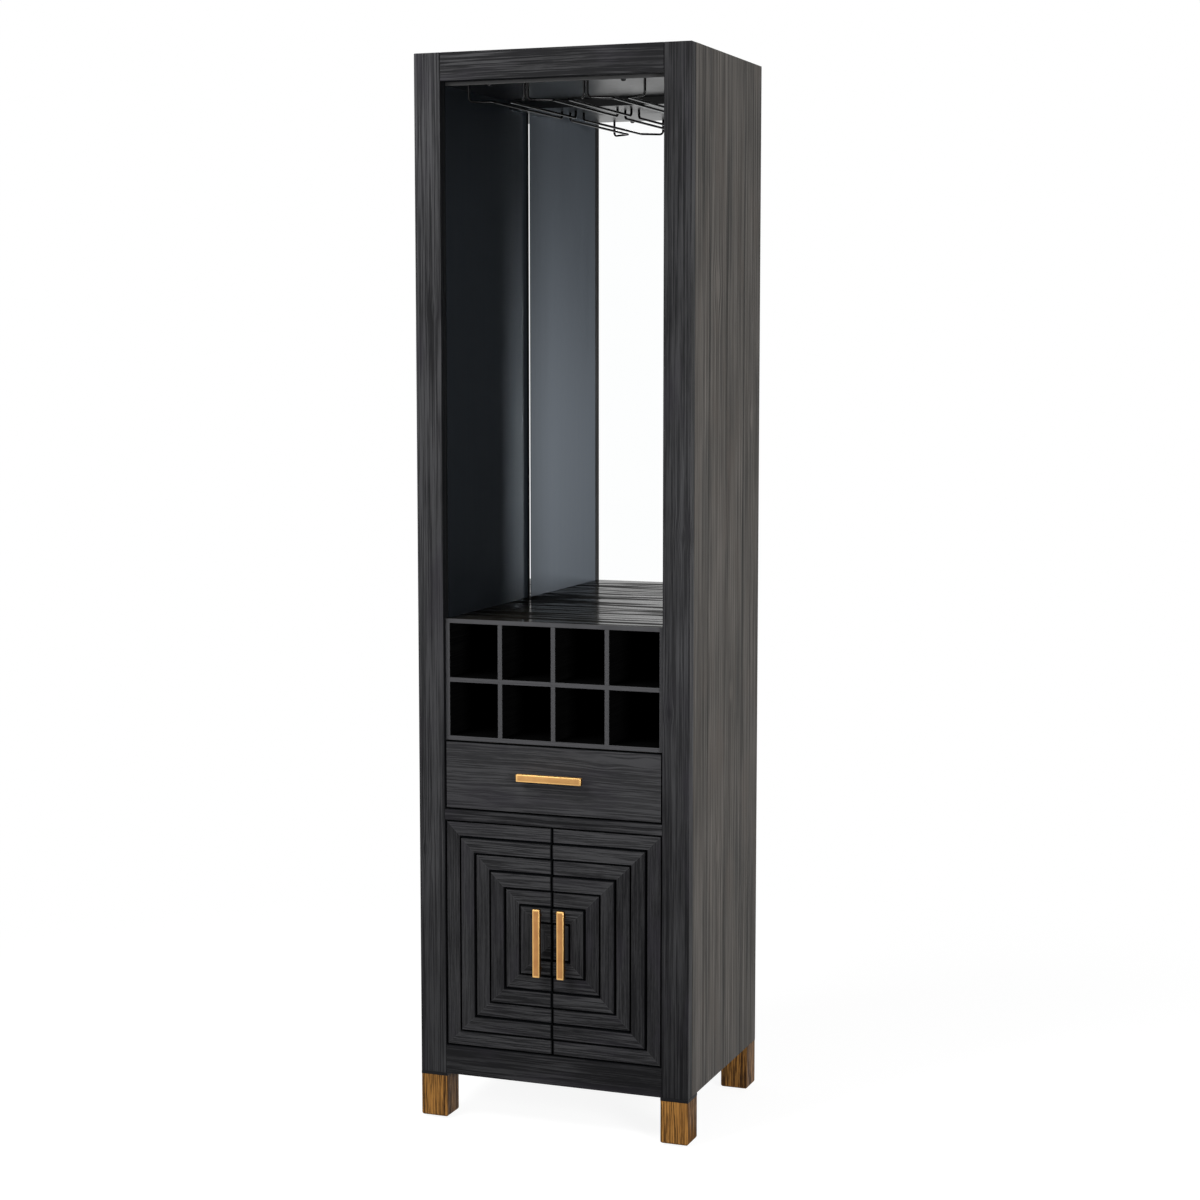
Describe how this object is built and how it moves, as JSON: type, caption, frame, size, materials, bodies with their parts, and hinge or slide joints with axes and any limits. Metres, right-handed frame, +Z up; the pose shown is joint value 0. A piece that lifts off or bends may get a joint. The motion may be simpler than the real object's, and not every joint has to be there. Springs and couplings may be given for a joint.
{
  "type": "drinks cabinet",
  "caption": "Tall narrow drinks cabinet with mirrored display bay, hanging glass rack, bottle cells, drawer and doors faced with mitred square strips, on short legs.",
  "frame": {"origin": "on the floor, under the middle of the whole object's box, door handles included", "axes": "+X to the right seen from the front, +Y from the front to the back, +Z up"},
  "size_m": [0.566, 0.464, 2.1075],
  "materials": {
    "charcoal_wood": "wire-brushed charcoal stain, low sheen",
    "wall_wood": "wire-brushed charcoal stain, worn a little lighter",
    "black_board": "smooth satin black",
    "rack_wood": "black stain, satin lacquer",
    "inner_wood": "plain sanded softwood",
    "leg_wood": "brown stain, satin",
    "mirror_glass": "silvered, polished bevel",
    "aged_brass": "aged, brushed",
    "black_wire": "satin black",
    "plain_steel": "zinc plated",
    "dark_plastic": "matt"
  },
  "bodies": {
    "cabinet": {"left_stile": "charcoal_wood", "right_stile": "charcoal_wood", "top_rail": "charcoal_wood", "middle_rail": "charcoal_wood", "bottom_rail": "charcoal_wood", "left_side_boards": "wall_wood", "right_side_boards": "wall_wood", "top_boards": "wall_wood", "left_liner": "black_board", "right_liner": "black_board", "ceiling_panel": "black_board", "rack_cleat": "black_board", "back_panel": "black_board", "dust_board": "black_board", "cupboard_floor": "black_board", "cupboard_shelf": "black_board", "leg_spacers": "black_board", "deck_boards": "rack_wood", "bottle_rack_left_side": "rack_wood", "bottle_rack_right_side": "rack_wood", "bottle_rack_shelf": "rack_wood", "bottle_rack_dividers": "rack_wood", "bottle_rack_floor": "rack_wood", "wall_framing": "inner_wood", "front_left_leg": "leg_wood", "front_right_leg": "leg_wood", "rear_left_leg": "leg_wood", "rear_right_leg": "leg_wood", "mirror": "mirror_glass", "glass_rack_left": "black_wire", "glass_rack_middle": "black_wire", "glass_rack_right": "black_wire", "runner_rails": "plain_steel", "leg_bolts": "plain_steel", "shelf_pins": "plain_steel", "leg_glides": "dark_plastic", "pivot_bushes": "dark_plastic", "door_catch": "dark_plastic"},
    "drawer": {"drawer_front": "charcoal_wood", "drawer_left_side": "inner_wood", "drawer_right_side": "inner_wood", "drawer_back": "inner_wood", "drawer_bottom": "inner_wood", "drawer_handle": "aged_brass", "drawer_handle_screws": "plain_steel", "runner_slides": "plain_steel"},
    "left_door": {"left_door_panel": "charcoal_wood", "left_door_low_strips": "charcoal_wood", "left_door_raised_strips": "charcoal_wood", "left_door_pivots": "plain_steel", "left_door_strike": "plain_steel", "left_door_handle": "aged_brass", "left_door_handle_screws": "plain_steel"},
    "right_door": {"right_door_panel": "charcoal_wood", "right_door_low_strips": "charcoal_wood", "right_door_raised_strips": "charcoal_wood", "right_door_pivots": "plain_steel", "right_door_strike": "plain_steel", "right_door_handle": "aged_brass", "right_door_handle_screws": "plain_steel"}
  },
  "joints": [
    {"name": "drawer_slide", "type": "slide", "parent": "cabinet", "child": "drawer", "axis": [0, -1, 0], "range_m": [0, 0.27]},
    {"name": "left_door_hinge", "type": "hinge", "parent": "cabinet", "child": "left_door", "pos_m": [-0.20303, -0.197, 0.3825], "axis": [0, 0, -1], "range_deg": [0, 110]},
    {"name": "right_door_hinge", "type": "hinge", "parent": "cabinet", "child": "right_door", "pos_m": [0.20303, -0.197, 0.3825], "axis": [0, 0, 1], "range_deg": [0, 110]}
  ]
}
